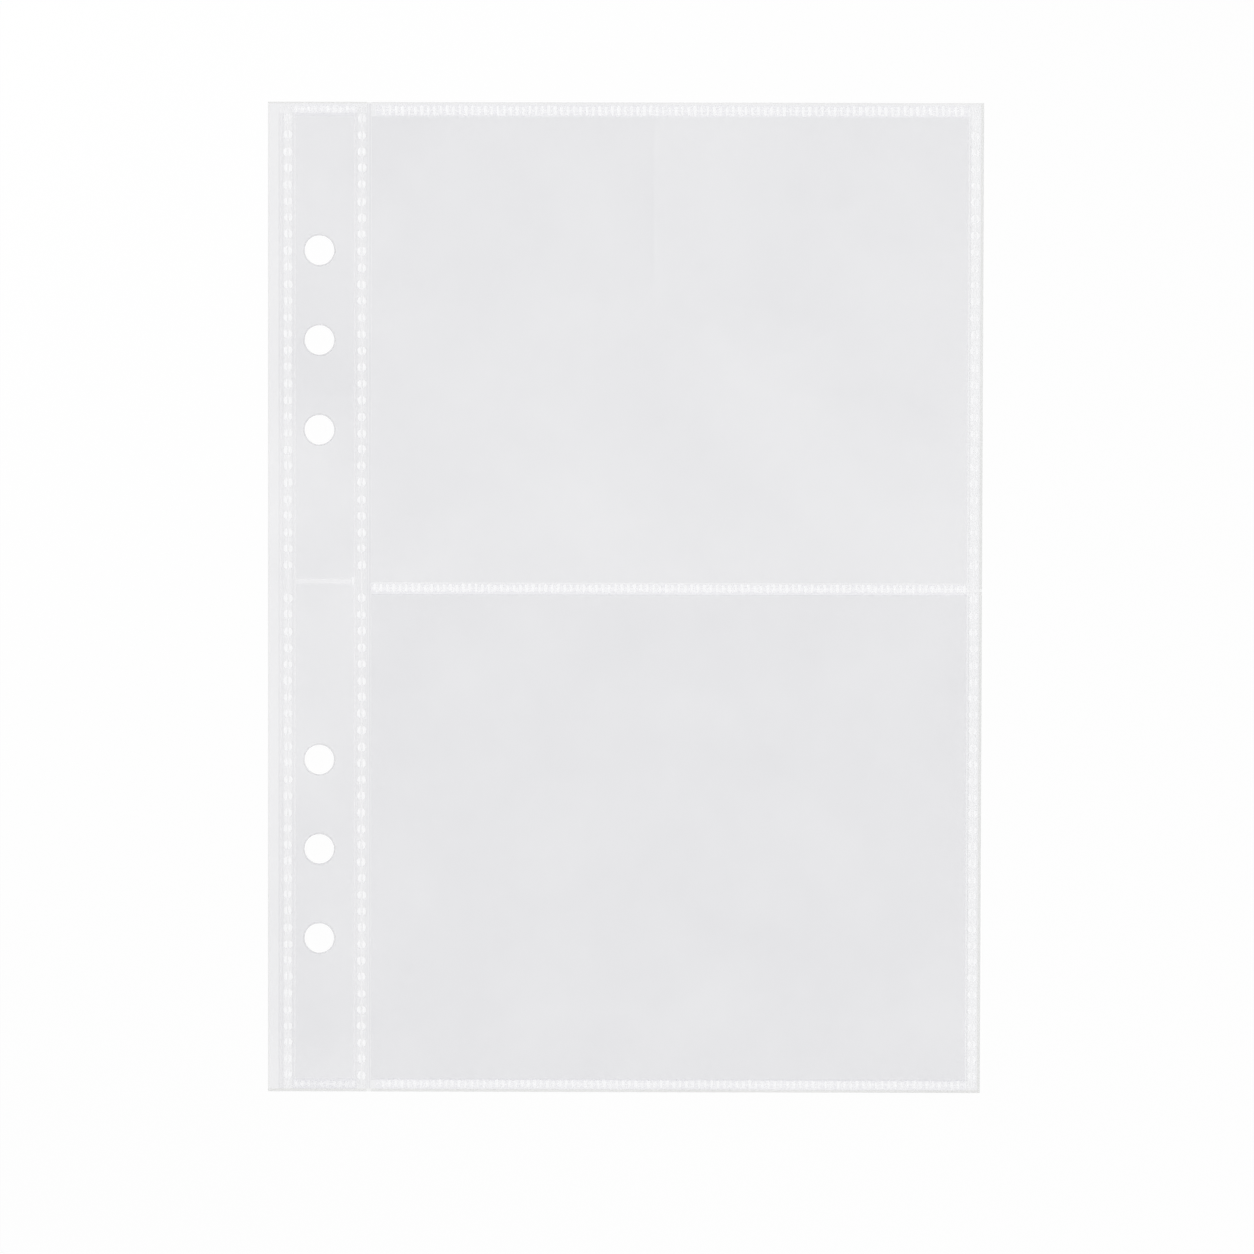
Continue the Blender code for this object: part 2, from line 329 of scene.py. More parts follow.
def rough_relief(nodes, links, skin, pattern, strength):
    """Raises a pattern on the skin of a finish, too low to model."""
    relief = nodes.new("ShaderNodeBump")
    relief.inputs["Strength"].default_value = strength
    relief.inputs["Distance"].default_value = RELIEF_DEPTH
    links.new(pattern, relief.inputs["Height"])
    links.new(relief.outputs["Normal"], skin.inputs["Normal"])


def light_falloff(nodes, links, light_spans):
    """Painted light: the share of the veil that is left, ramped along X and away from the page's middle,
    which makes the film lighter in some parts of the page and darker in others, as uneven light would.

    Each span holds two places and the share at each of them.
    """
    place = nodes.new("ShaderNodeSeparateXYZ")
    links.new(object_place(nodes, links), place.inputs["Vector"])
    from_middle = combined(nodes, links, "ABSOLUTE", place.outputs["Y"], 0.0)
    along_x = ranged(nodes, links, place.outputs["X"], *light_spans[0])
    along_y = ranged(nodes, links, from_middle, *light_spans[1])
    return combined(nodes, links, "MULTIPLY", along_x, along_y)


def crease_light(nodes, links, x, from_y, share):
    """Painted light beside a crease up the page at x, from a height upwards: a clearer patch on its right
    that fades away.
    """
    place = nodes.new("ShaderNodeSeparateXYZ")
    links.new(object_place(nodes, links), place.inputs["Vector"])
    step = ranged(nodes, links, place.outputs["X"], x - CREASE_WIDTH / 2, x + CREASE_WIDTH / 2, 0.0, share)
    fade = ranged(nodes, links, place.outputs["X"], x, x + CREASE_FADE, 1.0, 0.0)
    rise = ranged(nodes, links, place.outputs["Y"], from_y, from_y + CREASE_RISE, 0.0, 1.0)
    bite = combined(nodes, links, "MULTIPLY", combined(nodes, links, "MULTIPLY", step, fade), rise)
    return ranged(nodes, links, bite, 0.0, 1.0, 1.0, 0.0)


def film_finish(name, haze, body=FILM_BODY, shift=(0.0, 0.0, 0.0), light_spans=None, crease=None):
    """Clear film with clouds of haze, drawn streaks and a sheen at a flat angle, and where asked, painted
    light in soft sweeps across the page and beside a crease.
    """
    finish, nodes, links = new_finish(name)
    skin = nodes["Principled BSDF"]
    skin.inputs["Base Color"].default_value = body
    skin.inputs["IOR"].default_value = PLASTIC_IOR
    clouds = noise(nodes, links, object_place(nodes, links, shift=shift), CLOUDS_TO_A_METRE, CLOUD_DETAIL)
    veil = ranged(nodes, links, clouds, *NOISE_REACH, haze * (1 - HAZE_SPREAD), haze * (1 + HAZE_SPREAD))
    # Painted light: soft sweeps of thinner and thicker veil across the page.
    if light_spans:
        veil = combined(nodes, links, "MULTIPLY", veil, light_falloff(nodes, links, light_spans))
    # Painted light: a clearer patch beside a crease, where its bent film would catch the light.
    if crease:
        veil = combined(nodes, links, "MULTIPLY", veil, crease_light(nodes, links, *crease))
    facing = nodes.new("ShaderNodeLayerWeight")
    facing.inputs["Blend"].default_value = 0.5
    steep = combined(nodes, links, "POWER", facing.outputs["Facing"], SHEEN_POWER)
    sheen = combined(nodes, links, "MULTIPLY", steep, GRAZING_SHEEN)
    links.new(combined(nodes, links, "ADD", veil, sheen), skin.inputs["Alpha"])
    drawn_out = object_place(nodes, links, scale=STREAK_STRETCH)
    streaks = noise(nodes, links, drawn_out, STREAKS_TO_A_METRE, 0.0)
    links.new(ranged(nodes, links, streaks, *NOISE_REACH, *STREAK_ROUGHNESS), skin.inputs["Roughness"])
    rough_relief(nodes, links, skin, streaks, FILM_RELIEF)
    return finish


clear_film = film_finish("clear_film", FILM_HAZE)
print("haze of one skin", FILM_HAZE)

# %% [markdown]
# Five variants follow from the same recipe. Along the margins and under the weld bars the sheets are pressed
# together, so one veil is missing and the film is clearer. Along the cut edges of the page a greyer band is
# painted, as the shade that a clear film's edge shows, and the punched holes have a grey rim. The single film
# at the fold is hazy, and where it has been bent most it is paler.

# %% Mix the film's variants
PRESSED_HAZE = 0.37 * FILM_HAZE
EDGE_SHADE_HAZE = 1.25 * FILM_HAZE
EDGE_SHADE_GREY = (0.55, 0.55, 0.54, 1.0)
RIM_HAZE = 0.8 * FILM_HAZE
RIM_GREY = (0.70, 0.70, 0.71, 1.0)
FOLD_HAZE = 2.15 * FILM_HAZE
BENT_HAZE = 2.2 * FILM_HAZE
BENT_GREY = (0.70, 0.70, 0.73, 1.0)

pressed_film = film_finish("pressed_film", PRESSED_HAZE)
# Painted shade: the grey band along the page's edges, and the grey of its cut sides.
edge_shade = film_finish("edge_shade", EDGE_SHADE_HAZE, body=EDGE_SHADE_GREY)
hole_rim = film_finish("hole_rim", RIM_HAZE, body=RIM_GREY)
fold_film = film_finish("fold_film", FOLD_HAZE)
bent_film = film_finish("bent_film", BENT_HAZE, body=BENT_GREY)
variants = (pressed_film, edge_shade, hole_rim, fold_film, bent_film)
print("variants:", [variant.name for variant in variants])

# %% [markdown]
# ## Cutting a sheet
#
# A sheet of film starts as a plane. It is scored along straight lines with the bisect tool, which leaves
# edges to part the finishes by, and then it gets its thickness. Scoring before thickening keeps both skins
# alike.
#
# Clear film casts next to no shadow, because its haze only scatters the light and hardly stops it. Here the
# haze is drawn in grey, and that grey would dim the table and the sheets under it once more. So film and
# welds are told to let the lamps and the room shine through them.
#
# The tools that cut and merge have limits meant for furniture. A tenth of a millimetre is their idea of
# nothing, and it is nearly the thickness of this film, so they are given a far smaller one.

# %% Tools for sheets
FILM = BACK_TOP
TINY = 1e-7
HOLE_DIAMETER = 6.3 * MM
HOLE_SIDES = 48
PUNCH_LENGTH = 4 * MM
X_WAY = Vector((1.0, 0.0, 0.0))
Y_WAY = Vector((0.0, 1.0, 0.0))
Z_WAY = Vector((0.0, 0.0, 1.0))


def take(piece):
    """Selects one piece alone and makes it the active one."""
    bpy.ops.object.select_all(action="DESELECT")
    piece.select_set(True)
    bpy.context.view_layer.objects.active = piece


def set_down(piece):
    """Puts a shaped primitive's place and size into its mesh."""
    take(piece)
    bpy.ops.object.transform_apply(location=True, rotation=True, scale=True)


def let_light_through(piece):
    """Takes a piece out of the way of lamps and room light. The camera and reflections still see it."""
    piece.visible_shadow = False
    piece.visible_diffuse = False


def lay_sheet(name, x_span, y_span, z, finishes):
    """A flat rectangle of film with its list of finishes."""
    bpy.ops.object.select_all(action="DESELECT")
    middle = (sum(x_span) / 2, sum(y_span) / 2, z)
    bpy.ops.mesh.primitive_plane_add(size=1.0, location=middle)
    sheet = bpy.context.object
    sheet.name = name
    sheet.data.name = name
    sheet.scale = (x_span[1] - x_span[0], y_span[1] - y_span[0], 1.0)
    set_down(sheet)
    for finish in finishes:
        sheet.data.materials.append(finish)
    let_light_through(sheet)
    return sheet


def score(sheet, way, places):
    """Cuts edges into a sheet along straight lines, taking nothing away."""
    take(sheet)
    bpy.ops.object.mode_set(mode="EDIT")
    for place in places:
        bpy.ops.mesh.select_all(action="SELECT")
        bpy.ops.mesh.bisect(plane_co=way * place, plane_no=way, threshold=TINY)
    bpy.ops.object.mode_set(mode="OBJECT")


def paint_faces(sheet, finish, wanted):
    """Gives one of the sheet's finishes to the faces whose middle passes a test."""
    take(sheet)
    bpy.ops.object.mode_set(mode="EDIT")
    bpy.ops.mesh.select_all(action="DESELECT")
    mesh = bmesh.from_edit_mesh(sheet.data)
    for face in mesh.faces:
        face.select_set(wanted(face.calc_center_median()))
    bmesh.update_edit_mesh(sheet.data)
    sheet.active_material_index = sheet.data.materials.find(finish.name)
    bpy.ops.object.material_slot_assign()
    bpy.ops.object.mode_set(mode="OBJECT")


def thicken(sheet):
    """Gives a sheet the thickness of the film, upwards, with its second finish on the cut sides."""
    take(sheet)
    solid = sheet.modifiers.new("film_thickness", "SOLIDIFY")
    solid.thickness = FILM
    solid.offset = 1.0
    solid.use_rim = True
    solid.material_offset_rim = 1
    bpy.ops.object.modifier_apply(modifier=solid.name)


def join_all(name, parts):
    """Makes one piece of several."""
    bpy.ops.object.select_all(action="DESELECT")
    for part in parts:
        part.select_set(True)
    bpy.context.view_layer.objects.active = parts[0]
    bpy.ops.object.join()
    parts[0].name = name
    parts[0].data.name = name
    return parts[0]


def punch(sheet, centres):
    """Punches round holes through a sheet."""
    punches = []
    for centre in centres:
        bpy.ops.mesh.primitive_cylinder_add(
            vertices=HOLE_SIDES, radius=HOLE_DIAMETER / 2, depth=PUNCH_LENGTH, location=centre
        )
        punches.append(bpy.context.object)
    tool = join_all("punches", punches)
    set_down(tool)
    take(sheet)
    cut = sheet.modifiers.new("punch", "BOOLEAN")
    cut.operation = "DIFFERENCE"
    cut.solver = "EXACT"
    cut.object = tool
    bpy.ops.object.modifier_apply(modifier=cut.name)
    bpy.data.objects.remove(tool, do_unlink=True)


print("film thickness", round(FILM / MM, 2), "mm")

# %% [markdown]
# ## Back film
#
# The back of the page is one sheet, the only one that crosses the fold. The imported model has to part it
# there, because its hinge turns rigid pieces. In this scene one sheet replaces both halves, though nothing
# here bends it. It has many narrow faces at the fold, where a round bend would need them, and hardly any
# elsewhere.
#
# Along the fold there is no second film over it, and a single film would show as a bright gap. On a page that
# has been turned a few times the bent film is hazier, which closes the gap to a faint pale line.

# %% Make the back film
EDGE_LINE = 0.3 * MM
WIDE_EDGE_LINE = 0.6 * MM
BEND = 0.3 * MM
PALE_LINE = 0.12 * MM
MOUTH_GAP = 0.105 * MM
BEND_STEPS = 9

back_finishes = [clear_film, edge_shade, fold_film, bent_film]
back_film = lay_sheet("back_film", (LEFT, RIGHT), (BOTTOM, TOP), 0.0, back_finishes)
bend_lines = [FOLD - BEND + 2 * BEND * step / BEND_STEPS for step in range(BEND_STEPS + 1)]
score(back_film, X_WAY, [LEFT + EDGE_LINE, STRIP_END, MOUTH - MOUTH_GAP, RIGHT - WIDE_EDGE_LINE, *bend_lines])
score(back_film, Y_WAY, [BOTTOM + WIDE_EDGE_LINE, 0.0, TOP - EDGE_LINE])
paint_faces(back_film, fold_film, lambda c: STRIP_END < c.x < MOUTH - MOUTH_GAP)
paint_faces(back_film, bent_film, lambda c: abs(c.x - FOLD) < PALE_LINE)
# Painted shade: a grey band along each edge, wider at the bottom and the right.
paint_faces(
    back_film,
    edge_shade,
    lambda c: min(c.x - LEFT, TOP - c.y) < EDGE_LINE
    or min(RIGHT - c.x, c.y - BOTTOM) < WIDE_EDGE_LINE,
)
thicken(back_film)
punch(back_film, ring_centres)
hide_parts("strip_back_film", "panel_back_film")
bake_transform(back_film)
print("back film faces", len(back_film.data.polygons))

# %% [markdown]
# ## Front film of the strip
#
# The strip's front film runs from the left edge to just past the spine weld. It is punched with the same six
# holes. Outside the left weld, and where a weld wheel or the upper weld bar came down, it is pressed flat on
# the back film and looks clearer. The lower bar hardly touched it.

# %% Make the strip's front film
MARGIN_GAP = 1.1 * MM
MARGIN_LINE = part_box("left_edge_seam")[0].x - MARGIN_GAP
STRIP_BAR_MARK = 2.3 * MM
STRIP_LIGHT_REACH = 45.0 * MM

# Painted light: the strip's veil thins towards the page's middle, so the strip is lighter there and darker
# towards its top and bottom.
strip_haze_and_light = film_finish(
    "strip_haze_and_light", FILM_HAZE, light_spans=((LEFT, STRIP_END, 1.0, 1.0), (0.0, STRIP_LIGHT_REACH, 0.76, 1.05))
)
strip_finishes = [strip_haze_and_light, edge_shade, pressed_film]
strip_film = lay_sheet("strip_film", (LEFT, STRIP_END), (BOTTOM, TOP), FRONT_BOTTOM, strip_finishes)
wheel_marks = [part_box(node)[end].x for node in ("left_edge_seam", "spine_seam") for end in (0, 1)]
score(strip_film, X_WAY, [LEFT + EDGE_LINE, MARGIN_LINE, *wheel_marks])
score(strip_film, Y_WAY, [BOTTOM + WIDE_EDGE_LINE, 0.0, TOP - STRIP_BAR_MARK, TOP - EDGE_LINE])
paint_faces(
    strip_film,
    pressed_film,
    lambda c: c.x < MARGIN_LINE
    or wheel_marks[0] < c.x < wheel_marks[1]
    or wheel_marks[2] < c.x < wheel_marks[3]
    or TOP - c.y < STRIP_BAR_MARK,
)
# Painted shade: a grey band along the top and bottom edges, wider at the bottom.
paint_faces(strip_film, edge_shade, lambda c: c.y - BOTTOM < WIDE_EDGE_LINE or TOP - c.y < EDGE_LINE)
thicken(strip_film)
punch(strip_film, ring_centres)
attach(strip_film, "binding_strip")
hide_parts("strip_front_film")
print("strip film faces", len(strip_film.data.polygons))

# %% [markdown]
# ## Punched lips
#
# A punch doesn't cut film cleanly. It pushes a tiny lip up round each hole, which shows as a fine grey ring.
# A flattened torus stands for it, modelled once and copied to the front and the back of each hole.

# %% Set a lip round each hole
LIP_WIDTH = 0.26 * MM
LIP_HEIGHT = 0.06 * MM
LIP_SIDES = 6


def set_copy(pattern, place, stretch=(1.0, 1.0, 1.0)):
    """A copy of a modelled pattern with its own mesh, put in its place."""
    copy = pattern.copy()
    copy.data = pattern.data.copy()
    copy.data.transform(Matrix.Translation(place) @ Matrix.Diagonal((*stretch, 1.0)))
    bpy.context.collection.objects.link(copy)
    return copy


bpy.ops.object.select_all(action="DESELECT")
bpy.ops.mesh.primitive_torus_add(
    major_segments=HOLE_SIDES,
    minor_segments=LIP_SIDES,
    major_radius=HOLE_DIAMETER / 2 + LIP_WIDTH / 2,
    minor_radius=LIP_WIDTH / 2,
)
lip_pattern = bpy.context.object
lip_pattern.scale = (1.0, 1.0, LIP_HEIGHT / LIP_WIDTH)
set_down(lip_pattern)
bpy.ops.object.shade_smooth()
lip_pattern.data.materials.append(hole_rim)
lip_heights = (BACK_TOP, FRONT_TOP)
lips = [
    set_copy(lip_pattern, Vector((centre.x, centre.y, height)))
    for centre in ring_centres
    for height in lip_heights
]
punched_lips = join_all("punched_lips", lips)
let_light_through(punched_lips)
bpy.data.objects.remove(lip_pattern, do_unlink=True)
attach(punched_lips, "binding_strip")
print("lips", len(lip_heights) * len(ring_centres), "faces", len(punched_lips.data.polygons))

# %% [markdown]
# ## Pocket films
#
# Each pocket is closed by a film that is welded along three sides and free along the spine, where a print
# goes in. A welded film is never flat: the weld shrinks it a little, and between the welds it lies in long,
# shallow waves. A Displace modifier with a soft cloud texture makes them. A vertex group holds the film down
# at its welds and lets it rise in the middle and a little at the mouth.
#
# The veil isn't painted the same all over either. Each pocket film is painted clearer towards the right and
# the page's middle, the upper one more than the lower, as uneven light would leave them. The upper film was
# once bent near the top, which left a short upright crease, and a clearer patch on its right is painted
# light.

# %% Make the pocket films
WAVE_HEIGHT = 0.55 * MM
WAVE_LENGTH = 38.0 * MM
WAVE_LEVEL = 0.30
FILM_ANGLE = math.radians(30)
HELD_WIDTH = 14.0 * MM
UPPER_HAZE = 0.97 * FILM_HAZE
LOWER_HAZE = 1.17 * FILM_HAZE
MOUTH_LIFT = 0.35
CELL = 3.0 * MM
RIGHT_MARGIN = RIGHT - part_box("outer_edge_seam")[0].x
TOP_BAR_MARK = 3.05 * MM
BOTTOM_BAR_MARK = 2.5 * MM
MIDDLE_BAR_REACH = (-1.0 * MM, 1.5 * MM)
MIDDLE = sum(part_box("middle_seam")[end].y for end in (0, 1)) / 2
OUTER = sum(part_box("outer_edge_seam")[end].x for end in (0, 1)) / 2
BARS = (
    (BOTTOM, BOTTOM + BOTTOM_BAR_MARK),
    (TOP - TOP_BAR_MARK, TOP),
    tuple(MIDDLE + reach for reach in MIDDLE_BAR_REACH),
)


def eased(share):
    """A soft start and a soft stop between 0 and 1."""
    share = min(max(share, 0.0), 1.0)
    return share * share * (3 - 2 * share)


def slackness(spot, low_weld, high_weld):
    """How free the film is at a point, from 0 on a weld to 1 in the open."""
    from_welds = min(spot.y - low_weld, high_weld - spot.y, OUTER - spot.x)
    from_mouth = eased((spot.x - MOUTH) / HELD_WIDTH)
    return eased(from_welds / HELD_WIDTH) * (MOUTH_LIFT + (1 - MOUTH_LIFT) * from_mouth)


def steps_between(low, high, step):
    """Evenly spaced places between two ends, without the ends."""
    count = round((high - low) / step)
    return [low + (high - low) * index / count for index in range(1, count)]


def pocket_film(name, node, low_weld, high_weld, finish):
    """One pocket's front film with its waves, between the welds below and above it."""
    low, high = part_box(node)
    sheet = lay_sheet(name, (low.x, high.x), (low.y, high.y), FRONT_BOTTOM, [finish, edge_shade, pressed_film])
    score(sheet, X_WAY, steps_between(low.x, high.x, CELL))
    score(sheet, X_WAY, [RIGHT - RIGHT_MARGIN, RIGHT - WIDE_EDGE_LINE])
    score(sheet, Y_WAY, steps_between(low.y, high.y, CELL))
    marks = [BOTTOM + WIDE_EDGE_LINE, *(y for bar in BARS for y in bar)]
    score(sheet, Y_WAY, [y for y in marks if low.y < y < high.y])
    paint_faces(
        sheet,
        pressed_film,
        lambda c: RIGHT - c.x < RIGHT_MARGIN or any(start < c.y < end for start, end in BARS),
    )
    # Painted shade: a grey band along the right and bottom edges.
    paint_faces(sheet, edge_shade, lambda c: min(RIGHT - c.x, c.y - BOTTOM) < WIDE_EDGE_LINE)
    free = sheet.vertex_groups.new(name="free")
    for vertex in sheet.data.vertices:
        free.add([vertex.index], slackness(vertex.co, low_weld, high_weld), "REPLACE")
    lift = sheet.modifiers.new("waves", "DISPLACE")
    lift.texture = waves
    lift.texture_coords = "LOCAL"
    lift.direction = "Z"
    lift.mid_level = WAVE_LEVEL
    lift.strength = WAVE_HEIGHT
    lift.vertex_group = free.name
    take(sheet)
    bpy.ops.object.modifier_apply(modifier=lift.name)
    sheet.vertex_groups.clear()
    thicken(sheet)
    take(sheet)
    bpy.ops.object.shade_smooth_by_angle(angle=FILM_ANGLE)
    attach(sheet, "pocket_panel")
    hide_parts(node)
    heights = [vertex.co.z for vertex in sheet.data.vertices]
    print(name, "faces", len(sheet.data.polygons), "highest", round(max(heights) / MM, 2), "mm")


waves = bpy.data.textures.new("slack_waves", "CLOUDS")
waves.noise_scale = WAVE_LENGTH
waves.noise_depth = 1
# Painted light: each pocket's veil is ramped, lighter towards the right and towards the page's middle.
upper_haze_and_light = film_finish(
    "upper_pocket_haze_and_light",
    UPPER_HAZE,
    shift=(3.0, 1.0, 0.0),
    light_spans=((MOUTH, RIGHT, 1.06, 0.94), (0.0, TOP, 0.89, 1.12)),
    crease=(6.0 * MM, 55.0 * MM, 0.15),
)
lower_haze_and_light = film_finish(
    "lower_pocket_haze_and_light",
    LOWER_HAZE,
    shift=(7.0, 5.0, 0.0),
    light_spans=((MOUTH, RIGHT, 1.03, 0.97), (0.0, TOP, 0.97, 1.03)),
)
pocket_film("upper_pocket", "upper_pocket_film", MIDDLE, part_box("top_seam")[0].y, upper_haze_and_light)
pocket_film("lower_pocket", "lower_pocket_film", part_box("bottom_seam")[1].y, MIDDLE, lower_haze_and_light)

# %% [markdown]
# ## The weld's finishes
#
# A heated wheel with teeth presses the two films together. Where a tooth bites, the film melts, cools quickly
# and turns white. No two bites are alike, so each tooth gets a strength of its own, kept in its mesh as an
# attribute, and the finish turns it into more or less white. A strength below zero is a bite that hardly
# took. Between the teeth the films are only pressed, and stay nearly clear. The land of the lines up the page
# is painted a faint grey, as the shade that falls between the teeth.

# %% Mix the weld's finishes
WELD_WHITE = (0.975, 0.975, 0.985, 1.0)
WHEEL_LAND_SHADE = (0.78, 0.78, 0.80, 1.0)
BAR_WHITE = (0.88, 0.87, 0.95, 1.0)
WELD_ROUGHNESS = 0.34
LAND_ROUGHNESS = 0.25
ROUGHNESS_SPREAD = 0.08
GRAINS_TO_A_METRE = 1300.0
GRAIN_DETAIL = 2.0
GRAIN_REACH = (0.95, 1.04)
GRAIN_RELIEF = 0.12


def weld_finish(name, clearest, whitest, body=WELD_WHITE, roughness=WELD_ROUGHNESS):
    """Whitened film. Its alpha follows the strength attribute, broken up by a fine grain."""
    finish, nodes, links = new_finish(name)
    skin = nodes["Principled BSDF"]
    skin.inputs["Base Color"].default_value = body
    skin.inputs["IOR"].default_value = PLASTIC_IOR
    strength = nodes.new("ShaderNodeAttribute")
    strength.attribute_name = "strength"
    grain = noise(nodes, links, object_place(nodes, links), GRAINS_TO_A_METRE, GRAIN_DETAIL)
    uneven = ranged(nodes, links, grain, *NOISE_REACH, *GRAIN_REACH)
    white = ranged(nodes, links, strength.outputs["Fac"], 0.0, 1.0, clearest, whitest)
    links.new(combined(nodes, links, "MULTIPLY", white, uneven), skin.inputs["Alpha"])
    smoothest, roughest = roughness - ROUGHNESS_SPREAD, roughness + ROUGHNESS_SPREAD
    links.new(ranged(nodes, links, grain, *NOISE_REACH, smoothest, roughest), skin.inputs["Roughness"])
    rough_relief(nodes, links, skin, grain, GRAIN_RELIEF)
    return finish


tooth_white = weld_finish("tooth_white", 0.30, 1.0)
bead_white = weld_finish("bead_white", 0.10, 0.75)
# Painted shade: a faint grey land between the teeth of the lines up the page.
shaded_wheel_land = weld_finish("shaded_wheel_land", 0.06, 0.12, body=WHEEL_LAND_SHADE, roughness=LAND_ROUGHNESS)
bar_land = weld_finish("bar_land", 0.06, 0.14, body=BAR_WHITE, roughness=LAND_ROUGHNESS)
weld_finishes = (tooth_white, bead_white, shaded_wheel_land, bar_land)
print("weld finishes:", [finish.name for finish in weld_finishes])

# %% [markdown]
# ## Teeth
#
# The lines that run up the page have round teeth. Through a magnifier each is a low dome split down the
# middle, because the wheel's tooth has a slot. So half a dome is cut from a squashed sphere and mirrored. Its
# foot is sunk a little into the film, since two surfaces at the very same height would flicker.

# %% Model one round tooth
SINK = 0.03 * MM
TOOTH_HEIGHT = 0.08 * MM
ROUNDED = math.radians(50)


def dome(name, across, along, height, segments, rings):
    """Half of a squashed sphere, closed underneath."""
    bpy.ops.object.select_all(action="DESELECT")
    bpy.ops.mesh.primitive_uv_sphere_add(segments=segments, ring_count=rings, radius=1.0)
    piece = bpy.context.object
    piece.name = name
    piece.scale = (across / 2, along / 2, height)
    set_down(piece)
    bpy.ops.object.mode_set(mode="EDIT")
    bpy.ops.mesh.select_all(action="SELECT")
    bpy.ops.mesh.bisect(plane_co=(0, 0, 0), plane_no=Z_WAY, use_fill=True, clear_inner=True, threshold=TINY)
    bpy.ops.object.mode_set(mode="OBJECT")
    return piece


def round_tooth(name, across, along, slit):
    """Two lobes side by side with a slit between them."""
    right = dome(name, across, along, TOOTH_HEIGHT + SINK, segments=12, rings=6)
    take(right)
    bpy.ops.object.mode_set(mode="EDIT")
    bpy.ops.mesh.select_all(action="SELECT")
    bpy.ops.mesh.bisect(
        plane_co=X_WAY * slit / 2, plane_no=X_WAY, use_fill=True, clear_inner=True, threshold=TINY
    )
    bpy.ops.object.mode_set(mode="OBJECT")
    left = set_copy(right, Vector((0.0, 0.0, 0.0)), (-1.0, 1.0, 1.0))
    take(left)
    bpy.ops.object.mode_set(mode="EDIT")
    bpy.ops.mesh.select_all(action="SELECT")
    bpy.ops.mesh.flip_normals()
    bpy.ops.object.mode_set(mode="OBJECT")
    tooth = join_all(name, [right, left])
    take(tooth)
    bpy.ops.object.shade_smooth_by_angle(angle=ROUNDED)
    tooth.data.materials.append(tooth_white)
    return tooth


close_tooth = round_tooth("close_tooth", across=1.86 * MM, along=1.9 * MM, slit=0.45 * MM)
open_tooth = round_tooth("open_tooth", across=1.9 * MM, along=1.8 * MM, slit=0.62 * MM)
print("faces of a tooth", len(close_tooth.data.polygons))

# %% [markdown]
# ## Lines up the page
#
# Besides its teeth, a weld line has a land, where the films are pressed together, and a fine raised line down
# its middle. Hot plastic also flows outwards and sets as a faint bead on one or both sides. On some lines the
# film over the land has gone milky. The land is a thin slab, and everything raised along the line is a
# half-round rod, cut flat along the film.

# %% Tools for weld lines
BEAD_SIDES = 10
LAND_ROUNDING = 0.08 * MM
LAND_STRENGTH = 0.5


def strengthen(piece, strength, fade=0.0):
    """Writes how white a piece of weld is into its mesh, fading by a share towards its upper end."""
    values = piece.data.attributes.new("strength", "FLOAT", "POINT")
    heights = [vertex.co.y for vertex in piece.data.vertices]
    low, high = min(heights), max(heights)
    for spot, height in zip(values.data, heights):
        spot.value = strength * (1 - fade * (height - low) / (high - low))
    return piece


def bead(name, start, end, width, height, finish, strength, fade=0.0):
    """A long half-round bead on the film from one point to another."""
    way = end - start
    bpy.ops.object.select_all(action="DESELECT")
    bpy.ops.mesh.primitive_cylinder_add(vertices=BEAD_SIDES, radius=1.0, depth=1.0)
    rod = bpy.context.object
    rod.name = name
    rod.rotation_euler = (math.radians(90), 0.0, 0.0)
    set_down(rod)
    rod.scale = (width / 2, way.length, height)
    set_down(rod)
    bpy.ops.object.mode_set(mode="EDIT")
    bpy.ops.mesh.select_all(action="SELECT")
    bpy.ops.mesh.bisect(plane_co=(0, 0, 0), plane_no=Z_WAY, use_fill=True, clear_inner=True, threshold=TINY)
    bpy.ops.object.mode_set(mode="OBJECT")
    rod.rotation_euler = (0.0, 0.0, math.atan2(-way.x, way.y))
    rod.location = (start + end) / 2
    set_down(rod)
    bpy.ops.object.shade_smooth_by_angle(angle=ROUNDED)
    rod.data.materials.append(finish)
    return strengthen(rod, strength, fade)


def land(name, node, finish):
    """The pressed film between the two sheets, as a thin slab with softened edges, as wide as its node."""
    low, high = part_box(node)
    low, high = Vector((low.x, low.y, BACK_TOP - SINK)), Vector((high.x, high.y, FRONT_BOTTOM + SINK))
    bpy.ops.object.select_all(action="DESELECT")
    bpy.ops.mesh.primitive_cube_add(size=1.0, location=(low + high) / 2)
    slab = bpy.context.object
    slab.name = name
    slab.scale = high - low
    set_down(slab)
    bpy.ops.object.mode_set(mode="EDIT")
    bpy.ops.mesh.select_all(action="SELECT")
    bpy.ops.mesh.bevel(offset=LAND_ROUNDING, segments=2, affect="EDGES")
    bpy.ops.object.mode_set(mode="OBJECT")
    bpy.ops.object.shade_smooth_by_angle(angle=ROUNDED)
    slab.data.materials.append(finish)
    return strengthen(slab, LAND_STRENGTH)


def tooth_places(low, high, pitch, length):
    """The centres of as many teeth as fit between two ends."""
    count = int((high - low - length) / pitch) + 1
    first = (low + high) / 2 - pitch * (count - 1) / 2
    return [first + pitch * index for index in range(count)]


def finish_line(name, parts, node, body):
    """Joins a weld line and hangs it on its body."""
    line = join_all(name, parts)
    let_light_through(line)
    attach(line, body)
    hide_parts(node)
    print(name, "faces", len(line.data.polygons))


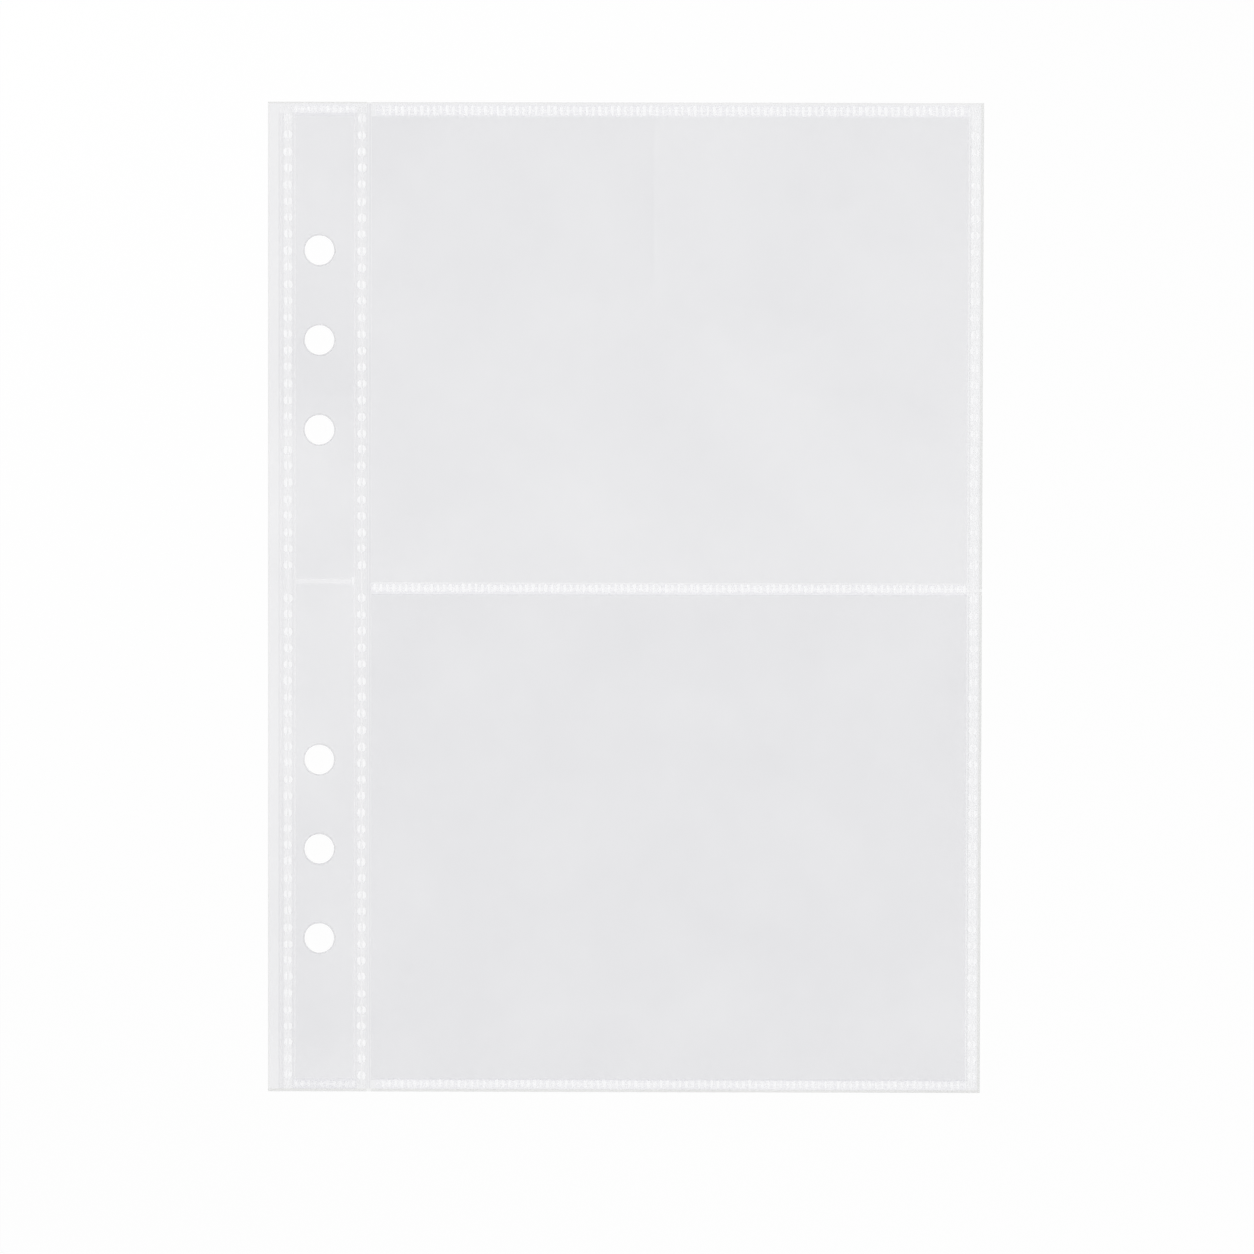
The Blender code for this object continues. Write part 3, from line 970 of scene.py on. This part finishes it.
# %% Make the lines up the page
ROUND_PITCH = 3.5 * MM
TOOTH_FADE = 0.45
TOOTH_WIDTHS = (0.90, 1.06)
TOOTH_LENGTHS = (0.9, 1.08)
TOOTH_HEIGHTS = (0.8, 1.0)
SIDE_DRIFT = (-0.08, 0.08)
LINE_DRIFT = (-0.12, 0.12)
CORE_WIDTH = 0.22 * MM
CORE_HEIGHT = 0.05 * MM + SINK
CORE_STRENGTH = 0.45
MILK_HEIGHT = 0.02 * MM + SINK
SIDE_BEAD = 1.5 * MM
SIDE_BEAD_WIDTH = 0.32 * MM
SIDE_BEAD_HEIGHT = 0.03 * MM + SINK
FAINT = 0.12
FOOT = FRONT_TOP - SINK
random.seed(11)


def upright_line(name, node, body, tooth, side_beads, strengths, top_strength, milky=None):
    """A weld line with round teeth, a weak one at its top, and none where the cross weld would have hit it.

    Each side bead is a distance from the line and a strength, and milky is a strength and its fade upwards.
    """
    low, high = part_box(node)
    x = (low.x + high.x) / 2
    start, end = Vector((x, low.y, FOOT)), Vector((x, high.y, FOOT))
    parts = [
        land(name, node, shaded_wheel_land),
        bead(name, start, end, CORE_WIDTH, CORE_HEIGHT, bead_white, CORE_STRENGTH),
    ]
    if milky:
        parts.append(bead(name, start, end, high.x - low.x, MILK_HEIGHT, bead_white, *milky))
    for side, strength in side_beads:
        shift = X_WAY * side
        bead_ends = (start + shift, end + shift)
        parts.append(bead(name, *bead_ends, SIDE_BEAD_WIDTH, SIDE_BEAD_HEIGHT, bead_white, strength))
    places = tooth_places(low.y, high.y, ROUND_PITCH, tooth.dimensions.y)
    for y in places:
        if abs(y - MIDDLE) < ROUND_PITCH / 2:
            continue
        width = random.uniform(*TOOTH_WIDTHS)
        spot = Vector((x + random.uniform(*SIDE_DRIFT) * MM, y + random.uniform(*LINE_DRIFT) * MM, FOOT))
        copy = set_copy(tooth, spot, (width, random.uniform(*TOOTH_LENGTHS), random.uniform(*TOOTH_HEIGHTS)))
        strength = top_strength if y == places[-1] else random.uniform(*strengths)
        parts.append(strengthen(copy, strength, TOOTH_FADE))
    finish_line(name, parts, node, body)


upright_line(
    "left_weld",
    "left_edge_seam",
    "binding_strip",
    close_tooth,
    side_beads=[(-SIDE_BEAD, FAINT), (SIDE_BEAD, FAINT)],
    strengths=(0.65, 1.05),
    top_strength=-0.3,
    milky=(0.1, 2.5),
)
upright_line(
    "spine_weld",
    "spine_seam",
    "binding_strip",
    close_tooth,
    side_beads=[(-SIDE_BEAD, FAINT)],
    strengths=(0.9, 1.1),
    top_strength=0.3,
)
upright_line(
    "outer_weld",
    "outer_edge_seam",
    "pocket_panel",
    open_tooth,
    side_beads=[(-0.85 * SIDE_BEAD, 0.35)],
    strengths=(0.7, 1.0),
    top_strength=-0.2,
    milky=(0.25, 0.0),
)

# %% [markdown]
# ## Lines across the page
#
# The cross welds are pressed by a bar, whose teeth are hollow. Each leaves two short white strokes, which
# narrow a little towards their lower end, and two faint rungs that close them to a ring. A stroke is a round
# dome that is pulled apart at its middle, so that it gets straight sides, and whose lower end is drawn in. A
# rung is a flat dome across.

# %% Model one pair of strokes
BAR_PITCH = 2.69 * MM
PAIR_WIDTH = 1.9 * MM
STROKE_WIDTH = 0.78 * MM
STROKE_LENGTH = 2.1 * MM
STROKE_WAIST = 0.05 * STROKE_WIDTH
STROKE_ENDS = ((1, 1.0), (-1, 0.8))
RUNG_HEIGHT = 0.7 * TOOTH_HEIGHT
RUNG_WIDTH = 0.5 * MM
RUNG_LENGTH = 1.5 * MM

stroke = dome("stroke", STROKE_WIDTH, STROKE_WIDTH, TOOTH_HEIGHT + SINK, segments=10, rings=6)
take(stroke)
bpy.ops.object.mode_set(mode="EDIT")
mesh = bmesh.from_edit_mesh(stroke.data)
for end, squeeze in STROKE_ENDS:
    for vertex in mesh.verts:
        vertex.select_set(vertex.co.y * end > STROKE_WAIST)
    mesh.select_flush_mode()
    bmesh.update_edit_mesh(stroke.data)
    bpy.ops.transform.translate(value=(0.0, end * (STROKE_LENGTH - STROKE_WIDTH) / 2, 0.0))
    bpy.ops.transform.resize(value=(squeeze, 1.0, 1.0), center_override=(0.0, 0.0, 0.0))
bpy.ops.object.mode_set(mode="OBJECT")
bpy.ops.object.shade_smooth_by_angle(angle=ROUNDED)
stroke.data.materials.append(tooth_white)
rung = dome("rung", RUNG_LENGTH, RUNG_WIDTH, RUNG_HEIGHT + SINK, segments=10, rings=4)
take(rung)
bpy.ops.object.shade_smooth_by_angle(angle=ROUNDED)
rung.data.materials.append(bead_white)
print("faces of a stroke", len(stroke.data.polygons), "and of a rung", len(rung.data.polygons))

# %% Make the lines across the page
STROKE_PLACES = (-0.25, 0.25)
STROKE_DRIFT = (-0.1, 0.1)
STROKE_WIDTHS = (0.75, 1.15)
STROKE_LENGTHS = (0.85, 1.08)
STROKE_HEIGHTS = (0.75, 1.0)
RUNG_SHARES = ((1, 0.1), (-1, 0.5))
BAR_CORE_WIDTH = 0.5 * MM
BAR_CORE_STRENGTH = 0.3


def cross_line(name, node, body, strengths, length=1.0, shift=0.0):
    """A weld line of paired strokes and their rungs, shortened and shifted up the page as told."""
    low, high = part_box(node)
    y = (low.y + high.y) / 2
    start, end = Vector((low.x, y + shift, FOOT)), Vector((high.x, y + shift, FOOT))
    parts = [
        land(name, node, bar_land),
        bead(name, start, end, BAR_CORE_WIDTH, CORE_HEIGHT, bead_white, BAR_CORE_STRENGTH),
    ]
    for x in tooth_places(low.x, high.x, BAR_PITCH, PAIR_WIDTH):
        for side in STROKE_PLACES:
            spot = Vector((x + side * BAR_PITCH, y + shift + random.uniform(*STROKE_DRIFT) * MM, FOOT))
            width = random.uniform(*STROKE_WIDTHS)
            stretch = (width, random.uniform(*STROKE_LENGTHS) * length, random.uniform(*STROKE_HEIGHTS))
            parts.append(strengthen(set_copy(stroke, spot, stretch), random.uniform(*strengths)))
        for way, share in RUNG_SHARES:
            reach = way * (STROKE_LENGTH * length - RUNG_WIDTH) / 2
            spot = Vector((x, y + shift + reach, FOOT))
            parts.append(strengthen(set_copy(rung, spot), share * random.uniform(*strengths)))
    finish_line(name, parts, node, body)


cross_line("strip_top_weld", "strip_top_seam", "binding_strip", (-0.3, 0.6), length=0.7, shift=0.25 * MM)
cross_line("strip_bottom_weld", "strip_bottom_seam", "binding_strip", (-0.3, 0.45), length=0.7)
cross_line("top_weld", "top_seam", "pocket_panel", (0.45, 0.95))
cross_line("middle_weld", "middle_seam", "pocket_panel", (0.65, 1.0), length=0.84, shift=0.3 * MM)
cross_line("bottom_weld", "bottom_seam", "pocket_panel", (0.2, 0.75), length=0.8, shift=0.1 * MM)

# %% [markdown]
# ## Cold mark
#
# The bar that welds the middle of the page is longer than the pockets. Over the strip it is cold and welds
# nothing, but it leaves a faint mark from weld to weld, with one short white bite beside the spine weld.

# %% Press the cold mark
MARK_Y = MIDDLE + 1.7 * MM
MARK_GAP = 0.6 * MM
MARK_WIDTH = 1.2 * MM
MARK_STRENGTH = 0.22
BITE_INSET = 0.35 * MM
BITE_STRETCH = (0.7, 0.85, 0.8)
BITE_STRENGTH = 0.6

mark_start = Vector((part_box("left_edge_seam")[1].x + MARK_GAP, MARK_Y, FOOT))
mark_end = Vector((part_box("spine_seam")[0].x - MARK_GAP, MARK_Y, FOOT))
line_mark = bead("cold_mark", mark_start, mark_end, MARK_WIDTH, MILK_HEIGHT, bead_white, MARK_STRENGTH)
bite = set_copy(stroke, mark_end - X_WAY * BITE_INSET, BITE_STRETCH)
cold_mark = join_all("cold_mark", [line_mark, strengthen(bite, BITE_STRENGTH)])
let_light_through(cold_mark)
for pattern in (close_tooth, open_tooth, stroke, rung):
    bpy.data.objects.remove(pattern, do_unlink=True)
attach(cold_mark, "binding_strip")
print("cold mark", round((mark_end - mark_start).length / MM, 1), "mm long")
